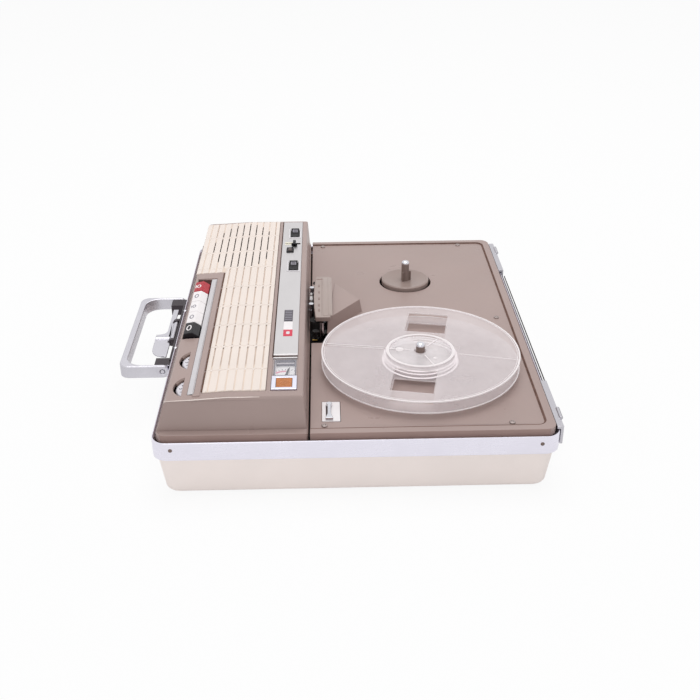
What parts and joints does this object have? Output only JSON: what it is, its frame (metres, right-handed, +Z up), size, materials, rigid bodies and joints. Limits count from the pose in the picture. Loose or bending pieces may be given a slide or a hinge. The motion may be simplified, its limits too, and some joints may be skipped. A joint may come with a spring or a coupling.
{
  "type": "portable reel-to-reel tape recorder",
  "caption": "Portable reel-to-reel tape recorder, lid off: shallow case with raised console of keys, grille, meter and switches, deck with turntables and a clear reel, fold-out carrying handle.",
  "frame": {"origin": "centre of the bounding box in plan, on the surface that the feet stand on", "axes": "+X is the user's right, +Y the rear, +Z up; the console and the handle are at -Y"},
  "size_m": [0.405, 0.3856, 0.0941],
  "materials": {
    "cream_shell": "fine grained moulded plastic",
    "taupe_plastic": "satin moulded plastic",
    "cover_plastic": "satin moulded plastic",
    "grille_cream": "satin moulded plastic",
    "band_aluminium": "satin anodised",
    "plate_aluminium": "brushed",
    "bright_chrome": "polished",
    "plain_steel": "plated",
    "black_plastic": "satin",
    "black_rubber": "matte",
    "red_plastic": "gloss",
    "white_plastic": "gloss",
    "grey_plastic": "satin",
    "clear_plastic": "clear, lightly frosted",
    "amber_plastic": "translucent amber",
    "cone_paper": "pressed paper",
    "board_laminate": "laminate with soldered parts"
  },
  "bodies": {
    "case": {"bottom_shell": "cream_shell", "foot_front_left": "black_rubber", "foot_front_right": "black_rubber", "foot_rear_left": "black_rubber", "foot_rear_right": "black_rubber", "trim_band": "band_aluminium", "deck_plate": "taupe_plastic", "deck_screw_front_left": "bright_chrome", "deck_screw_front_right": "bright_chrome", "deck_screw_rear_left": "bright_chrome", "deck_screw_rear_right": "bright_chrome", "deck_screw_rear_middle": "bright_chrome", "console_cover": "taupe_plastic", "speaker_grille": "grille_cream", "control_plate": "plate_aluminium", "key_trim_strip": "grey_plastic", "meter_window": "clear_plastic", "meter_body": "white_plastic", "lamp_bezel": "plate_aluminium", "lamp_lens": "amber_plastic", "controls_bracket": "plain_steel", "key_shaft": "plain_steel", "key_spring_comb": "plain_steel", "speaker_basket": "plain_steel", "speaker_cone": "cone_paper", "head_plate": "black_plastic", "tape_heads": "bright_chrome", "speed_plate": "plate_aluminium", "chassis_plate": "plain_steel", "motor": "plain_steel", "drive_belt": "black_rubber", "circuit_board": "board_laminate", "mains_transformer": "plain_steel", "handle_plate": "black_plastic", "lid_hinge_rail": "band_aluminium"},
    "needle": {"meter_needle": "black_plastic"},
    "record_key": {"key_record": "red_plastic"},
    "rewind_key": {"key_rewind": "white_plastic"},
    "forward_key": {"key_forward": "white_plastic"},
    "play_key": {"key_play": "white_plastic"},
    "stop_key": {"key_stop": "black_plastic"},
    "volume": {"volume_wheel": "white_plastic"},
    "tone": {"tone_wheel": "white_plastic"},
    "power_switch": {"rocker_power": "black_plastic"},
    "monitor_switch": {"rocker_monitor": "black_plastic"},
    "slide_switch": {"slide_knob": "black_plastic"},
    "button": {"push_button": "black_plastic"},
    "heads_lid": {"head_cover": "cover_plastic"},
    "capstan": {"capstan_shaft": "bright_chrome", "flywheel": "plain_steel"},
    "pinch": {"pinch_arm": "plain_steel"},
    "roller": {"pinch_roller": "black_rubber"},
    "supply": {"supply_turntable": "taupe_plastic"},
    "takeup": {"takeup_turntable": "taupe_plastic"},
    "reel": {"reel_upper_half": "clear_plastic", "reel_lower_half": "clear_plastic"},
    "speed": {"speed_lever": "bright_chrome"},
    "pulley": {"motor_pulley": "plain_steel"},
    "handle": {"carrying_handle": "band_aluminium"},
    "latch": {"lid_latch": "bright_chrome"}
  },
  "joints": [
    {"name": "needle_swing", "type": "hinge", "parent": "case", "child": "needle", "pos_m": [0.1487, -0.03705, 0.0848], "axis": [0, 0, 1], "range_deg": [-10, 36], "stiffness_Nm_per_rad": 0.0001},
    {"name": "record_key_press", "type": "hinge", "parent": "case", "child": "record_key", "pos_m": [-0.018, -0.09045, 0.0775], "axis": [1, 0, 0], "range_deg": [0, 5.4], "stiffness_Nm_per_rad": 0.5, "springref_deg": -5.73},
    {"name": "rewind_key_press", "type": "hinge", "parent": "case", "child": "rewind_key", "pos_m": [0.004, -0.09045, 0.0775], "axis": [1, 0, 0], "range_deg": [0, 5.4], "stiffness_Nm_per_rad": 0.5, "springref_deg": -5.73},
    {"name": "forward_key_press", "type": "hinge", "parent": "case", "child": "forward_key", "pos_m": [0.026, -0.09045, 0.0775], "axis": [1, 0, 0], "range_deg": [0, 5.4], "stiffness_Nm_per_rad": 0.5, "springref_deg": -5.73},
    {"name": "play_key_press", "type": "hinge", "parent": "case", "child": "play_key", "pos_m": [0.048, -0.09045, 0.0775], "axis": [1, 0, 0], "range_deg": [0, 5.4], "stiffness_Nm_per_rad": 0.5, "springref_deg": -5.73},
    {"name": "stop_key_press", "type": "hinge", "parent": "case", "child": "stop_key", "pos_m": [0.07, -0.09045, 0.0775], "axis": [1, 0, 0], "range_deg": [0, 5.4], "stiffness_Nm_per_rad": 0.5, "springref_deg": -5.73},
    {"name": "volume_turn", "type": "hinge", "parent": "case", "child": "volume", "pos_m": [0.1225, -0.10975, 0.0836], "axis": [0, 0, 1], "range_deg": [-135, 135]},
    {"name": "tone_turn", "type": "hinge", "parent": "case", "child": "tone", "pos_m": [0.1665, -0.10975, 0.0836], "axis": [0, 0, 1], "range_deg": [-135, 135]},
    {"name": "power_rock", "type": "hinge", "parent": "case", "child": "power_switch", "pos_m": [-0.1535, -0.03445, 0.0851], "axis": [0, -1, 0], "range_deg": [0, 16]},
    {"name": "monitor_rock", "type": "hinge", "parent": "case", "child": "monitor_switch", "pos_m": [-0.066, -0.03445, 0.0851], "axis": [0, -1, 0], "range_deg": [0, 16]},
    {"name": "slide_switch_travel", "type": "slide", "parent": "case", "child": "slide_switch", "axis": [0, 1, 0], "range_m": [-0.007, 0.003]},
    {"name": "button_press", "type": "slide", "parent": "case", "child": "button", "axis": [0, 0, -1], "range_m": [0, 0.002], "stiffness_N_per_m": 300, "springref_m": -0.003},
    {"name": "heads_lid_lift", "type": "slide", "parent": "case", "child": "heads_lid", "axis": [0, 0, 1], "range_m": [0, 0.03]},
    {"name": "capstan_spin", "type": "hinge", "parent": "case", "child": "capstan", "pos_m": [0.026, -0.00615, 0.05], "axis": [0, 0, 1], "continuous": true},
    {"name": "pinch_swing", "type": "hinge", "parent": "case", "child": "pinch", "pos_m": [0.004, 0.00355, 0.053], "axis": [0, 0, 1], "range_deg": [0, 11.2]},
    {"name": "roller_spin", "type": "hinge", "parent": "pinch", "child": "roller", "pos_m": [0.015, -0.01145, 0.0655], "axis": [0, 0, 1], "continuous": true},
    {"name": "supply_spin", "type": "hinge", "parent": "case", "child": "supply", "pos_m": [-0.091, 0.08205, 0.06], "axis": [0, 0, 1], "continuous": true},
    {"name": "takeup_spin", "type": "hinge", "parent": "case", "child": "takeup", "pos_m": [0.0895, 0.08205, 0.06], "axis": [0, 0, 1], "continuous": true},
    {"name": "reel_lift", "type": "slide", "parent": "takeup", "child": "reel", "axis": [0, 0, 1], "range_m": [0, 0.03]},
    {"name": "pulley_spin", "type": "hinge", "parent": "case", "child": "pulley", "pos_m": [-0.055, 0.06755, 0.036], "axis": [0, 0, 1], "continuous": true},
    {"name": "speed_swing", "type": "hinge", "parent": "case", "child": "speed", "pos_m": [0.1565, -0.00045, 0.062], "axis": [0, 0, 1], "range_deg": [-12, 12]},
    {"name": "handle_swing", "type": "hinge", "parent": "case", "child": "handle", "pos_m": [0, -0.15295, 0.04825], "axis": [1, 0, 0], "range_deg": [-90, 90]},
    {"name": "latch_swing", "type": "hinge", "parent": "case", "child": "latch", "pos_m": [0, -0.15075, 0.0515], "axis": [1, 0, 0], "range_deg": [-92, 80]}
  ],
  "couplings": [
    {"joint": "pulley_spin", "follows": "capstan_spin", "ratio": 4.5714},
    {"joint": "pinch_swing", "follows": "play_key_press", "ratio": 2.05}
  ]
}
